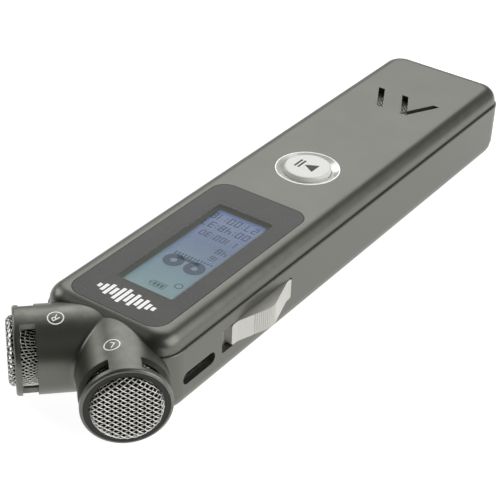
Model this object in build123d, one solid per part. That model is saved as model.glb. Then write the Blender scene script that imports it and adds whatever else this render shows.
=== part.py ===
"""Handheld voice recorder with a V-shaped twin microphone head.

Millimetres, +Z up. The origin is the middle of the casing's flat back.
+Y runs from the microphone end to the speaker end, and +X is the side
with the USB socket and the record slider.
"""
from build123d import *
from math import cos, radians, sin, tan
import os

# Casing
body_length = 105.0
body_width = 24.6
body_height = 13.8
wall = 1.2
front_shell_height = 3.0
rear_cover_height = 2.9
corner_radius = 4.2
least_corner_radius = 0.3
top_edge_radius = 2.45
bottom_edge_radius = 2.8
side_step = 0.4                # front shell set in from the frame at the sides and the speaker end
front_step = 0.2               # and at the microphone end
cover_end_step = 0.35          # rear cover set in at the speaker end
parting_groove_height = 0.08
parting_groove_depth = 0.15
frame_top_edge_radius = 0.25
lip_height = 0.8
lip_root = 0.5                 # of the rear cover's lip, inside the cover
lip_thickness = 0.6
fit_gap = 0.05                 # between pieces fixed to each other
slide_gap = 0.1                # between a moving piece and what guides it
touch_gap = 0.02               # between pieces glued or soldered face to face
overlap = 0.1                  # how far joined shapes of one piece run into each other
beyond = 1.0                   # how far a cutter runs past the face it opens

# Display
window_length = 39.65
window_side_margin = 3.43      # from the casing's side to the window
window_thickness = 0.8
window_corner_radius = 2.7
window_from_front = 2.65
window_gap = 0.1               # thin line round the window
lcd_length = 29.4
lcd_side_margin = 2.67         # from the window's side to the display
lcd_thickness = 1.2
lcd_centre_from_front = 23.4
backlight_thickness = 1.1
backlight_side_inset = 0.1
backlight_end_inset = 0.4
lcd_frame_wall = 0.7
lcd_frame_drop = 0.3           # frame's rim below the display's face
lcd_frame_ledge = 1.5
lcd_opening_gap = 0.2
lcd_opening_corner_radius = 0.5
flex_width = 8.0
flex_thickness = 0.2
flex_side_gap = 0.2
flex_reach = 1.2               # beyond the display frame's end
flex_foot = 0.6                # back from the cable's drop along the board
flex_drop = 0.3                # below the display glass

# Play button
button_from_front = 55.0
bezel_radius = 5.6
bezel_height = 0.8
bezel_dish = 0.5
bezel_rim = 0.2
button_radius = 4.05
button_rise = 0.4
button_flange_radius = 4.75
button_flange_height = 0.5
button_edge_radius = 0.3
button_stem_radius = 1.2
button_stem_length = 1.7
button_travel = 0.35
tact_body_size = 4.5
tact_plunger_radius = 1.0
tact_plunger_height = 0.8
tact_plunger_root = 0.5

# Record slider on the +X side
slider_slot_length = 18.6
slider_lip_gap = 0.3           # knob's flange to the casing's lips
slider_slot_drop = 0.2         # below the middle of the frame's wall
slider_slot_from_front = 13.75
slider_slot_corner_radius = 0.5
slider_gap = 0.2               # round the knob in its slot
slider_travel = 2.2
slider_peak = 2.3              # height of the crest's sharp corner above the side wall
slider_base = 0.1              # knob height at its two ends
slider_ramp_start = 1.5        # from the knob's near end
slider_crest = 7.9
slider_ramp_end = 14.8
slider_crest_radius = 4.0
slider_foot_radius = 2.5
slider_corner_radius = 0.5
slider_rib_start = 4.5
slider_rib_count = 12
slider_flange_thickness = 0.65
slider_flange_overlap = 0.75
slider_rib_pitch = 0.38
slider_rib_radius = 0.09
slide_switch_length = 8.4
slide_switch_depth = 2.2
slide_switch_height = 2.8
slide_lever_size = 1.3
slide_lever_reach = 1.1        # from the switch to the knob's flange
slide_lever_grip = 0.85        # inside the knob
slide_lever_root = 0.9         # inside the switch

# Keys on the -X side
key_length = 6.4
key_height = 2.2
key_rise = 0.5
key_edge_radius = 0.25
key_travel = 0.3
key_flange_overlap = 0.6
key_flange_thickness = 0.5
key_pitch = 8.6
first_key_from_front = 15.5
side_switch_length = 4.0
side_switch_depth = 2.4
side_switch_height = 2.2
side_plunger_radius = 0.6
side_plunger_reach = 0.9
side_plunger_root = 0.4

# Main board
board_thickness = 0.8
board_side_gap = 0.35          # to the slider's flange
board_corner_radius = 1.0
board_from_front = 4.4
board_end_gap = 3.5
board_screw_gap = 0.15
notch_gap = 0.3
chip_x = -1.0
processor_size = 7.0
processor_height = 0.9
processor_from_front = 21.4
memory_width = 9.0
memory_length = 12.0
memory_height = 1.0
memory_from_front = 35.4

# USB receptacle
usb_from_front = 8.1
usb_slot_length = 7.85
usb_slot_height = 2.1
usb_board_gap = 0.05
usb_lip_gap = 0.45             # above the rear cover's lip
usb_shell_width = 7.5
usb_shell_height = 2.4
usb_shell_depth = 5.0
usb_shell_corner_radius = 0.7
usb_sheet = 0.28
usb_tongue_width = 3.6
usb_tongue_thickness = 0.6
usb_tongue_drop = 0.35         # below the shell's upper sheet
usb_tongue_inset = 0.6         # behind the shell's mouth
usb_back_thickness = 0.8
usb_back_gap = 0.3

# Headphone jack in the speaker end
jack_bore_radius = 1.8
jack_nose_radius = 2.5
jack_body_length = 10.6
jack_body_width = 6.0
jack_lip_gap = 0.45            # to the casing's two lips
jack_bore_length = 9.5

# Battery
battery_from_front = 45.8
battery_jack_gap = 15.35       # from its far end to the jack
battery_side_gap = 1.45        # to the casing's lips
battery_board_gap = 0.65
battery_corner_radius = 1.0
battery_pad_thickness = 0.3
battery_pad_margin = 2.0

# Speaker
speaker_from_rear = 19.4
speaker_radius = 7.0
speaker_board_gap = 1.7
basket_frame_height = 1.6
magnet_radius = 4.2
cone_radius = 5.9
cone_depth = 0.9
cone_thickness = 0.15
cone_cap_radius = 2.0
surround_width = 0.6
surround_drop = 0.3
cap_drop = 0.35
gasket_height = 0.25
speaker_mesh_thickness = 0.15
speaker_mesh_margin = 0.2
slot_width = 1.3               # along X
slot_run = 6.6                 # along Y
slot_slant = 3.45              # shift in X over the run
slot_pitch = 5.1
first_slot_x = -3.825
third_slot_offset = 3.15       # from the second slot, which it meets

# Microphone head
barrel_top_gap = 0.34          # barrels lower than the casing's top
barrel_angle = 45.0            # each barrel's turn away from the long axis
barrel_length = 15.2           # from the meeting point of the two axes to the rim face
barrel_wall = 0.85
vertex_from_front = 3.93       # the axes meet this far behind the casing's front end
barrel_edge_radius = 0.45
bore_neck_gap = 0.1            # from the bores' inner corners to the end of the barrels in the casing
crease_radius = 0.8
side_window_start = 11.95
side_window_width = 2.3
side_window_rib_angle = 40.0   # width of the two ribs left between the windows
rim_width = 0.53               # painted rim outside the ring
ring_width = 0.78
ring_depth = 0.7
basket_wall = 0.25
basket_start = 10.5
basket_rise = 1.1              # beyond the rim face
basket_edge_radius = 0.8
capsule_basket_gap = 0.37
capsule_bore_gap = 0.7         # from the bore's floor to the capsule
capsule_length = 4.3
capsule_edge_radius = 0.3
capsule_port_radius = 1.66
capsule_port_depth = 0.2
plug_start = 2.5               # the barrels end here, inside the casing
plug_end = 4.1                 # end of the neck plug that joins them
lead_radius = 0.4
lead_offset = 3.0
lead_channel_gap = 0.4
lead_channel_length = 12.0
lead_corner_from_front = 5.6
lead_end_from_front = 8.0
lead_bend_share = 0.45         # of the shorter run, used up by the bend

# Housing screws
screw_radius = 0.8
screw_head_radius = 1.5
screw_head_height = 0.85
screw_head_inset = 0.15        # below the back
screw_head_edge_radius = 0.3
screw_bite = 2.35              # thread above the board
screw_slot_length = 1.8
screw_slot_width = 0.35
screw_slot_depth = 0.35
screw_clearance = 0.1
boss_roof = 0.4                # left above the thread's bore
boss_radius = 1.6
post_radius = 1.7
post_wall_gap = 0.75           # from a post to the casing's lips
front_screw_from_front = 6.3
middle_screws_from_front = 41.7
rear_screws_from_rear = 7.4

# Places worked out from the sizes above
front_y = -body_length / 2
rear_y = body_length / 2
half_width = body_width / 2
inner_half_width = half_width - wall
parting_z = body_height - front_shell_height
frame_middle_z = (rear_cover_height + parting_z) / 2
ceiling_z = body_height - wall
board_bottom = rear_cover_height + lip_height + usb_lip_gap + usb_shell_height + usb_board_gap
board_top = board_bottom + board_thickness
board_front_y = front_y + board_from_front
board_rear_y = rear_y - board_end_gap
lip_inner_half_width = inner_half_width - fit_gap - lip_thickness
flange_x = inner_half_width - slide_gap - slider_flange_thickness
board_half_width = flange_x - board_side_gap
window_width = body_width - 2 * window_side_margin
window_y = front_y + window_from_front + window_length / 2
window_bottom = body_height - window_thickness
lcd_width = window_width - 2 * lcd_side_margin
lcd_y = front_y + lcd_centre_from_front
lcd_top = window_bottom - fit_gap
backlight_top = lcd_top - lcd_thickness - touch_gap
lcd_seat = backlight_top - backlight_thickness - touch_gap
button_y = front_y + button_from_front
button_flange_top = body_height - bezel_height - slide_gap
button_flange_low = button_flange_top - button_flange_height
tact_plunger_top = button_flange_low - button_stem_length
tact_top = tact_plunger_top - tact_plunger_height
speaker_y = rear_y - speaker_from_rear
speaker_top = ceiling_z - speaker_mesh_thickness - gasket_height
speaker_low = board_top + speaker_board_gap
usb_y = front_y + usb_from_front
usb_z = board_bottom - usb_board_gap - usb_shell_height / 2
slot_edge = lip_height + slider_flange_overlap + slider_lip_gap
slider_slot_height = parting_z - rear_cover_height - 2 * slot_edge
slider_slot_z = frame_middle_z - slider_slot_drop
slot_y = front_y + slider_slot_from_front + slider_slot_length / 2
knob_length = slider_slot_length - slider_travel - 2 * slider_gap
knob_y = slot_y + slider_slot_length / 2 - slider_gap - knob_length / 2
switch_y = knob_y - slider_travel / 2
switch_face_x = flange_x - slide_lever_reach
key_z = frame_middle_z
key_flange_x = inner_half_width - slide_gap - key_flange_thickness
side_switch_face_x = key_flange_x - side_plunger_reach
jack_z = frame_middle_z
jack_body_height = parting_z - rear_cover_height - 2 * lip_height - 2 * jack_lip_gap
jack_front_y = rear_y - wall - fit_gap - jack_body_length
battery_y0 = front_y + battery_from_front
battery_y1 = jack_front_y - battery_jack_gap
battery_half_width = lip_inner_half_width - battery_side_gap
barrel_radius = (body_height - barrel_top_gap) / 2
ring_outer_radius = barrel_radius - rim_width
ring_inner_radius = ring_outer_radius - ring_width
basket_radius = ring_inner_radius - fit_gap
capsule_radius = basket_radius - basket_wall - capsule_basket_gap
barrel_z = barrel_radius
turn = radians(barrel_angle)
neck_reach = (vertex_from_front - plug_start) / cos(turn)
barrel_bore_start = neck_reach + (barrel_radius - barrel_wall) * tan(turn) + bore_neck_gap
capsule_start = barrel_bore_start + capsule_bore_gap
vertex = Vector(0, front_y + vertex_from_front, barrel_z)
screw_head_top = screw_head_inset + screw_head_height
screw_side_offset = lip_inner_half_width - post_wall_gap - post_radius
screw_places = [(0, front_y + front_screw_from_front)]
for screw_y in (front_y + middle_screws_from_front, rear_y - rear_screws_from_rear):
    screw_places += [(-screw_side_offset, screw_y), (screw_side_offset, screw_y)]
key_names = ["menu", "volume_down", "volume_up"]
key_places = [front_y + first_key_from_front + i * key_pitch for i in range(len(key_names))]


def block(x0, x1, y0, y1, z0, z1):
    """A box given by its six faces."""
    middle = Pos((x0 + x1) / 2, (y0 + y1) / 2, (z0 + z1) / 2)
    return middle * Box(x1 - x0, y1 - y0, z1 - z0)


def rounded_slab(x_half, y0, y1, z0, z1, radius):
    """A vertical prism with a rounded rectangle as its plan."""
    plan = RectangleRounded(2 * x_half, y1 - y0, radius)
    return Pos(0, (y0 + y1) / 2, z0) * extrude(plan, z1 - z0)


def edges_at(shape, z):
    """The edges that lie in one level plane."""
    return shape.edges().filter_by_position(Axis.Z, z - 0.001, z + 0.001)


def upright(radius, x, y, z0, z1):
    """A vertical cylinder."""
    return Pos(x, y, (z0 + z1) / 2) * Cylinder(radius, z1 - z0)


def facing_x(x, y, z):
    """Place for a plan that lies in a side wall: its X along Y, its Y up."""
    return Location(Plane(origin=(x, y, z), x_dir=(0, 1, 0), z_dir=(1, 0, 0)))


def along_x(shape):
    """Turn a shape made along Z so that it lies along X."""
    return Rot(0, 90, 0) * shape


def one_solid(shape):
    """Unwrap a result that is a single solid."""
    return shape.solids()[0] if len(shape.solids()) == 1 else shape


# Microphone barrels. Side is +1 for the +X barrel and -1 for the -X barrel.
def barrel_frame(side):
    """Local frame of a barrel: Z along its axis towards the rim, Y up, X sideways."""
    outwards = Vector(side * sin(turn), -cos(turn), 0)
    sideways = Vector(cos(turn), side * sin(turn), 0) * side
    return Location(Plane(origin=vertex, x_dir=sideways, z_dir=outwards))


def barrel_tube(side, outer, start, end, inner=0.0):
    """A cylinder or a tube on a barrel's axis."""
    tube = Pos(0, 0, (start + end) / 2) * Cylinder(outer, end - start)
    if inner:
        tube -= Pos(0, 0, (start + end) / 2) * Cylinder(inner, end - start + beyond)
    return barrel_frame(side) * tube


def twin_barrels(radius, end):
    """Both barrels as plain cylinders mitred on the middle plane."""
    reach = 2 * body_length
    result = None
    for side in (-1, 1):
        half = block(0, reach, -reach, reach, -reach, reach)
        if side < 0:
            half = block(-reach, 0, -reach, reach, -reach, reach)
        barrel = barrel_tube(side, radius, -radius * 2, end) & half
        result = barrel if result is None else result + barrel
    return result


def make_mic_head():
    edge = barrel_length - barrel_edge_radius
    head = twin_barrels(barrel_radius, barrel_length)
    rims = [e for e in head.edges().filter_by(GeomType.CIRCLE) if abs(e.radius - barrel_radius) < 0.01]
    head = fillet(rims, barrel_edge_radius)
    head -= block(-body_width, body_width, front_y + plug_start, rear_y, -beyond, body_height)
    creases = [e for e in head.edges() if abs(e.center().X) < 0.01 and e.center().Y < front_y]
    head = fillet(creases, crease_radius)
    plug_low = wall + fit_gap
    plug_high = ceiling_z - fit_gap
    plug = shell_ring(side_step + wall + lip_thickness, plug_low, plug_high, front_step + wall + fit_gap)
    plug = fillet(edges_at(plug, plug_low) + edges_at(plug, plug_high), bottom_edge_radius - wall)
    plug &= block(-body_width, body_width, front_y, front_y + plug_end, 0, body_height)
    head += plug
    ring_seat = barrel_length - ring_depth
    for side in (-1, 1):
        head -= barrel_tube(side, barrel_radius - barrel_wall, barrel_bore_start, edge - ring_depth)
        head -= barrel_tube(side, ring_inner_radius, edge - ring_depth - beyond, barrel_length + beyond)
        head -= barrel_tube(side, ring_outer_radius + fit_gap, ring_seat, barrel_length + beyond)
        head -= side_windows(side)
        channel = Cylinder(lead_radius + lead_channel_gap, lead_channel_length)
        middle = barrel_bore_start + overlap - lead_channel_length / 2
        head -= lead_frame(side) * Pos(0, 0, middle) * channel
    return one_solid(head)


def lead_frame(side):
    """The barrel's frame moved to where its lead leaves the capsule."""
    rise = board_top + lead_radius + touch_gap - barrel_z
    return barrel_frame(side) * Pos(lead_offset, side_up(side) * rise, 0)


def side_up(side):
    """Sign of the local Y axis that points up in the barrel's frame."""
    return 1 if (barrel_frame(side) * Pos(0, 1, 0)).position.Z > barrel_z else -1


def side_windows(side):
    """Cutter for the two wide openings round a barrel's front."""
    cutter = Cylinder(barrel_radius + beyond, side_window_width)
    rib_half = barrel_radius * sin(radians(side_window_rib_angle / 2))
    cutter -= Box(2 * rib_half, 2 * (barrel_radius + 2 * beyond), side_window_width + beyond)
    return barrel_frame(side) * Pos(0, 0, side_window_start + side_window_width / 2) * cutter


def make_grille_ring(side):
    start = barrel_length - ring_depth
    return barrel_tube(side, ring_outer_radius, start, barrel_length, ring_inner_radius)


def basket_cup(radius, end, edge_radius):
    """A cylinder that starts at the basket's foot, with its far edge rounded."""
    cup = Pos(0, 0, (basket_start + end) / 2) * Cylinder(radius, end - basket_start)
    return fillet(cup.edges().filter_by(GeomType.CIRCLE).sort_by(Axis.Z)[-1], edge_radius)


def make_mesh_basket(side):
    end = barrel_length + basket_rise
    outer = basket_cup(basket_radius, end, basket_edge_radius)
    inner = basket_cup(basket_radius - basket_wall, end - basket_wall, basket_edge_radius - basket_wall)
    return barrel_frame(side) * (outer - inner)


def make_capsule(side):
    end = capsule_start + capsule_length
    can = Pos(0, 0, (capsule_start + end) / 2) * Cylinder(capsule_radius, capsule_length)
    can = fillet(can.edges().filter_by(GeomType.CIRCLE).sort_by(Axis.Z)[-1], capsule_edge_radius)
    can -= Pos(0, 0, end) * Cylinder(capsule_port_radius, 2 * capsule_port_depth)
    return barrel_frame(side) * can


def make_capsule_boot(side):
    outer = barrel_radius - barrel_wall - fit_gap
    start = barrel_bore_start + fit_gap
    end = basket_start - fit_gap
    boot = barrel_tube(side, outer, start, end)
    boot -= barrel_tube(side, capsule_radius + fit_gap, capsule_start - fit_gap, end + beyond)
    hole = Cylinder(lead_radius + lead_channel_gap, 2 * (capsule_start - start + beyond))
    return boot - lead_frame(side) * Pos(0, 0, start) * hole


def make_mic_lead(side):
    """Capsule lead: out along the barrel, then straight back over the board."""
    start = (lead_frame(side) * Pos(0, 0, capsule_start - fit_gap)).position
    inner = (lead_frame(side) * Pos(0, 0, 0)).position
    corner_y = front_y + lead_corner_from_front
    share = (corner_y - start.Y) / (inner.Y - start.Y)
    corner = start + (inner - start) * share
    end = Vector(corner.X, front_y + lead_end_from_front, corner.Z)
    shorter = min((corner - start).length, (end - corner).length)
    radius = lead_bend_share * shorter / tan(turn / 2)
    path = FilletPolyline(start, corner, end, radius=radius)
    section = Plane(origin=start, z_dir=corner - start) * Circle(lead_radius)
    return sweep(section, path)


# Casing
def shell_ring(inset, z0, z1, front_inset=None, rear_inset=None):
    """A rounded slab set in from the frame's outer face."""
    front_inset = inset if front_inset is None else front_inset
    rear_inset = inset if rear_inset is None else rear_inset
    radius = max(corner_radius - inset, least_corner_radius)
    return rounded_slab(half_width - inset, front_y + front_inset, rear_y - rear_inset, z0, z1, radius)


def head_opening():
    """Room for the microphone head in the casing's front end."""
    front_part = block(-body_width, body_width, 2 * front_y, front_y + plug_start, -beyond, body_height)
    return twin_barrels(barrel_radius + fit_gap, barrel_length) & front_part


def speaker_slot(middle_x, lean):
    """One slanted speaker slot with its two ends along X."""
    top_x = middle_x - lean * slot_slant / 2
    low_x = middle_x + lean * slot_slant / 2
    half = slot_width / 2
    run = slot_run / 2
    outline = Polyline(
        (top_x - half, run),
        (top_x + half, run),
        (low_x + half, -run),
        (low_x - half, -run),
        close=True,
    )
    return extrude(make_face(outline), wall + 2 * beyond)


def speaker_slots():
    """Two parallel slots and a third that leans the other way and meets the second, like a V."""
    second_slot_x = first_slot_x + slot_pitch
    slots = speaker_slot(first_slot_x, 1)
    slots += speaker_slot(second_slot_x, 1)
    slots += speaker_slot(second_slot_x + third_slot_offset, -1)
    return Pos(0, speaker_y, ceiling_z - beyond) * slots


def one_largest(shape):
    """Keep the largest solid of a cut."""
    return shape.solids().sort_by(SortBy.VOLUME)[-1]


def make_front_shell():
    shell = shell_ring(side_step, parting_z, body_height, front_step, side_step)
    shell = fillet(edges_at(shell, body_height), top_edge_radius)
    inset = side_step + wall
    room = shell_ring(inset, parting_z - beyond, ceiling_z, front_step + wall, inset)
    room = fillet(edges_at(room, ceiling_z), top_edge_radius - wall)
    shell -= room
    groove = shell_ring(side_step - beyond, parting_z, parting_z + parting_groove_height)
    groove_in = side_step + parting_groove_depth
    front_in = front_step + parting_groove_depth
    groove -= shell_ring(groove_in, parting_z - beyond, parting_z + beyond, front_in, groove_in)
    shell -= groove
    shell += casing_lip(parting_z - lip_height, parting_z)
    for x, y in screw_places:
        shell += upright(boss_radius, x, y, board_top + fit_gap, ceiling_z + overlap)
    shell -= head_opening()
    shell -= window_pocket()
    high = body_height + beyond
    shell -= upright(bezel_radius + fit_gap, 0, button_y, body_height - bezel_height, high)
    shell -= upright(button_flange_radius + slide_gap, 0, button_y, ceiling_z - beyond, high)
    shell -= speaker_slots()
    for x, y in screw_places:
        shell -= upright(screw_radius, x, y, board_top, ceiling_z - boss_roof)
    return one_largest(shell)


def casing_lip(z0, z1):
    """The lip that keys a shell into the frame, left out round the microphone head."""
    outer = wall + fit_gap
    lip = shell_ring(outer, z0, z1)
    lip -= shell_ring(outer + lip_thickness, z0 - beyond, z1 + beyond)
    return lip - block(-half_width, half_width, front_y, front_y + plug_end + beyond, 0, body_height)


def window_pocket():
    """Pocket that holds the window flush, and the opening below it."""
    half = window_width / 2 + window_gap
    run = window_length / 2 + window_gap
    radius = window_corner_radius + window_gap
    pocket = rounded_slab(half, window_y - run, window_y + run, window_bottom, body_height + beyond, radius)
    half = lcd_width / 2 + lcd_frame_wall + lcd_opening_gap
    run = lcd_length / 2 + lcd_frame_wall + lcd_opening_gap
    radius = lcd_opening_corner_radius
    return pocket + rounded_slab(half, lcd_y - run, lcd_y + run, parting_z, body_height, radius)


def make_mid_frame():
    frame = shell_ring(0, rear_cover_height, parting_z)
    frame = fillet(edges_at(frame, parting_z), frame_top_edge_radius)
    frame -= shell_ring(wall, rear_cover_height - beyond, parting_z + beyond)
    frame -= head_opening()
    frame -= usb_slot()
    frame -= slider_slot()
    for y in key_places:
        frame -= key_prism(y, slide_gap, -half_width - beyond, -inner_half_width + beyond)
    nose = Cylinder(jack_nose_radius + fit_gap, 2 * (wall + beyond))
    return one_largest(frame - Pos(0, rear_y, jack_z) * Rot(90, 0, 0) * nose)


def usb_slot():
    plan = SlotOverall(usb_slot_length, usb_slot_height)
    return facing_x(half_width, usb_y, usb_z) * extrude(plan, wall + beyond, both=True)


def slider_slot():
    """Opening in the +X wall for the record slider."""
    plan = RectangleRounded(slider_slot_length, slider_slot_height, slider_slot_corner_radius)
    place = facing_x(inner_half_width - beyond, slot_y, slider_slot_z)
    return place * extrude(plan, wall + 2 * beyond)


def key_prism(y, gap, x0, x1):
    """Stadium prism through the -X wall at one key."""
    plan = SlotOverall(key_length + 2 * gap, key_height + 2 * gap)
    return facing_x(x0, y, key_z) * extrude(plan, x1 - x0)


def make_rear_cover():
    cover = shell_ring(0, 0, rear_cover_height, 0, cover_end_step)
    cover = fillet(edges_at(cover, 0), bottom_edge_radius)
    room = shell_ring(wall, wall, rear_cover_height + beyond)
    room = fillet(edges_at(room, wall), bottom_edge_radius - wall)
    cover -= room
    cover += casing_lip(rear_cover_height - lip_root, rear_cover_height + lip_height)
    for x, y in screw_places:
        cover += upright(post_radius, x, y, wall - overlap, board_bottom - fit_gap)
    cover -= head_opening()
    for x, y in screw_places:
        cover -= upright(screw_radius + screw_clearance, x, y, -beyond, board_bottom + beyond)
        cover -= upright(screw_head_radius + screw_clearance, x, y, -beyond, screw_head_top + fit_gap)
    return one_largest(cover)


def make_display_window():
    half = window_width / 2
    y0 = window_y - window_length / 2
    y1 = window_y + window_length / 2
    return rounded_slab(half, y0, y1, window_bottom, body_height, window_corner_radius)


def lcd_block(side_inset, end_inset, z0, z1):
    """A box set in from the display glass's sides and ends."""
    half = lcd_width / 2 - side_inset
    run = lcd_length / 2 - end_inset
    return block(-half, half, lcd_y - run, lcd_y + run, z0, z1)


def make_lcd_glass():
    return lcd_block(0, 0, lcd_top - lcd_thickness, lcd_top)


def make_lcd_backlight():
    low = backlight_top - backlight_thickness
    return lcd_block(backlight_side_inset, backlight_end_inset, low, backlight_top)


def make_lcd_frame():
    """Rim round the display on a wide ledge, with a slot for the flat cable."""
    top = lcd_top - lcd_frame_drop
    frame = lcd_block(-lcd_frame_wall, -lcd_frame_wall, board_top, top)
    frame -= lcd_block(-fit_gap, -fit_gap, lcd_seat, top + beyond)
    frame -= lcd_block(lcd_frame_ledge, lcd_frame_ledge, board_top - beyond, lcd_seat + beyond)
    half = flex_width / 2 + flex_side_gap
    wall_y = lcd_y + lcd_length / 2 + lcd_frame_wall
    ledge_y = lcd_y + lcd_length / 2 - lcd_frame_ledge
    return frame - block(-half, half, ledge_y, wall_y + beyond, board_top, backlight_top + lcd_thickness)


def make_lcd_flex():
    """Flat cable from the display's end down to the board."""
    half = flex_width / 2
    glass_y = lcd_y + lcd_length / 2 + fit_gap
    outer_y = lcd_y + lcd_length / 2 + lcd_frame_wall + flex_reach
    low = lcd_top - lcd_thickness - flex_drop
    high = low + flex_thickness
    flex = block(-half, half, glass_y, outer_y, low, high)
    flex += block(-half, half, outer_y - flex_thickness, outer_y, board_top, high)
    flex += block(-half, half, outer_y - flex_foot, outer_y, board_top, board_top + flex_thickness)
    return one_solid(flex)


def make_button_bezel():
    """Dished ring: flat narrow rim outside, cone down to the button."""
    low = body_height - bezel_height
    inner = button_radius + slide_gap
    outline = Polyline(
        (inner, low),
        (bezel_radius, low),
        (bezel_radius, body_height),
        (bezel_radius - bezel_rim, body_height),
        (inner, body_height - bezel_dish),
        close=True,
    )
    ring = revolve(Plane.XZ * make_face(outline), Axis.Z)
    return Pos(0, button_y, 0) * ring


def make_play_button():
    top = body_height + button_rise
    cap = upright(button_radius, 0, button_y, button_flange_top, top)
    cap = fillet(edges_at(cap, top), button_edge_radius)
    cap += upright(button_flange_radius, 0, button_y, button_flange_low, button_flange_top)
    cap += upright(button_stem_radius, 0, button_y, tact_plunger_top, button_flange_low)
    return one_solid(cap)


def make_play_switch_body():
    half = tact_body_size / 2
    body = block(-half, half, button_y - half, button_y + half, board_top, tact_top)
    hole_low = tact_top - tact_plunger_root - button_travel - slide_gap
    return body - upright(tact_plunger_radius + slide_gap, 0, button_y, hole_low, tact_top + beyond)


def make_play_switch_plunger():
    return upright(tact_plunger_radius, 0, button_y, tact_top - tact_plunger_root, tact_plunger_top)


def knob_top(y):
    """Height of the knob's outer face above the side wall, before its corners are rounded."""
    along = y - (knob_y - knob_length / 2)
    rise = (along - slider_ramp_start) / (slider_crest - slider_ramp_start)
    fall = (slider_ramp_end - along) / (slider_ramp_end - slider_crest)
    return slider_base + (slider_peak - slider_base) * max(min(rise, fall), 0)


def make_record_slider():
    near_y = knob_y - knob_length / 2
    far_y = knob_y + knob_length / 2
    base_x = half_width + slider_base
    inside_x = inner_half_width - slide_gap
    low_z = slider_slot_z - slider_slot_height / 2 + slider_gap
    high_z = slider_slot_z + slider_slot_height / 2 - slider_gap
    outer_line = FilletPolyline(
        (base_x, near_y, low_z),
        (base_x, near_y + slider_ramp_start, low_z),
        (half_width + slider_peak, near_y + slider_crest, low_z),
        (base_x, near_y + slider_ramp_end, low_z),
        (base_x, far_y, low_z),
        radius=[slider_foot_radius, slider_crest_radius, slider_foot_radius],
    )
    inner_line = Polyline(
        (base_x, far_y, low_z),
        (inside_x, far_y, low_z),
        (inside_x, near_y, low_z),
        (base_x, near_y, low_z),
    )
    profile = make_face(Wire(list(outer_line.edges()) + list(inner_line.edges())))
    knob = extrude(profile, high_z - low_z, dir=(0, 0, 1))
    knob = fillet(knob.edges().filter_by(Axis.X), slider_corner_radius)
    for step in range(slider_rib_count):
        y = near_y + slider_rib_start + step * slider_rib_pitch
        surface_x = half_width + knob_top(y) - crest_rounding(y)
        knob -= upright(slider_rib_radius, surface_x, y, low_z - beyond, high_z + beyond)
    z_reach = slider_slot_height / 2 + slider_flange_overlap
    y0 = usb_y + usb_shell_width / 2 + 2 * slide_gap + slider_travel
    y1 = far_y + slider_flange_overlap
    knob += block(flange_x, inside_x, y0, y1, slider_slot_z - z_reach, slider_slot_z + z_reach)
    grip_x = flange_x + slide_lever_grip + slide_gap
    return one_solid(knob - lever_block(flange_x - beyond, grip_x, touch_gap))


def lever_block(x0, x1, gap, travel=0.0):
    """The switch lever's section with a gap round it, drawn out over a travel."""
    half = slide_lever_size / 2 + gap
    return block(x0, x1, knob_y - travel - half, knob_y + half, slider_slot_z - half, slider_slot_z + half)


def crest_rounding(y):
    """How far the rounded crest lies below the two straight ramps."""
    slope = (slider_peak - slider_base) / (slider_ramp_end - slider_crest)
    half_run = slider_crest_radius * slope
    offset = abs(y - (knob_y - knob_length / 2 + slider_crest))
    if offset > half_run:
        return 0
    return slope * (half_run / 2 - offset) + offset ** 2 / (2 * slider_crest_radius)


def make_slide_switch_body():
    z0 = slider_slot_z - slide_switch_height / 2
    z1 = slider_slot_z + slide_switch_height / 2
    half = slide_switch_length / 2
    body = block(switch_face_x - slide_switch_depth, switch_face_x, switch_y - half, switch_y + half, z0, z1)
    slot_x = switch_face_x - slide_lever_root - 2 * slide_gap
    return body - lever_block(slot_x, switch_face_x + beyond, slide_gap, slider_travel)


def make_slide_switch_lever():
    return lever_block(switch_face_x - slide_lever_root, flange_x + slide_lever_grip, 0)


def make_key(y):
    cap = key_prism(y, 0, -half_width - key_rise, -inner_half_width + slide_gap)
    cap = fillet(cap.faces().sort_by(Axis.X)[0].edges(), key_edge_radius)
    cap += key_prism(y, key_flange_overlap, -inner_half_width + slide_gap, -key_flange_x)
    return one_solid(cap)


def make_side_switch_body(y):
    half = side_switch_length / 2
    z_half = side_switch_height / 2
    face = -side_switch_face_x
    body = block(face, face + side_switch_depth, y - half, y + half, key_z - z_half, key_z + z_half)
    depth = side_plunger_root + key_travel + slide_gap
    return body - Pos(face, y, key_z) * along_x(Cylinder(side_plunger_radius + slide_gap, 2 * depth))


def make_side_plunger(y):
    x0 = -key_flange_x
    x1 = -side_switch_face_x + side_plunger_root
    return Pos((x0 + x1) / 2, y, key_z) * along_x(Cylinder(side_plunger_radius, x1 - x0))


def make_main_board():
    half = board_half_width
    board = block(-half, half, board_front_y, board_rear_y, board_bottom, board_top)
    board = fillet(board.edges().filter_by(Axis.Z), board_corner_radius)
    run = slide_switch_length / 2 + notch_gap
    inner_x = switch_face_x - slide_switch_depth - notch_gap
    board -= block(inner_x, half + beyond, switch_y - run, switch_y + run, 0, body_height)
    run = side_switch_length / 2 + notch_gap
    edge = -side_switch_face_x + side_switch_depth + notch_gap
    for y in key_places:
        board -= block(-half - beyond, edge, y - run, y + run, 0, body_height)
    jack_half = jack_body_width / 2 + notch_gap
    board -= block(-jack_half, jack_half, jack_front_y - notch_gap, rear_y, 0, body_height)
    for x, y in screw_places:
        board -= upright(screw_radius + board_screw_gap, x, y, 0, body_height)
    return one_largest(board)


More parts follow.
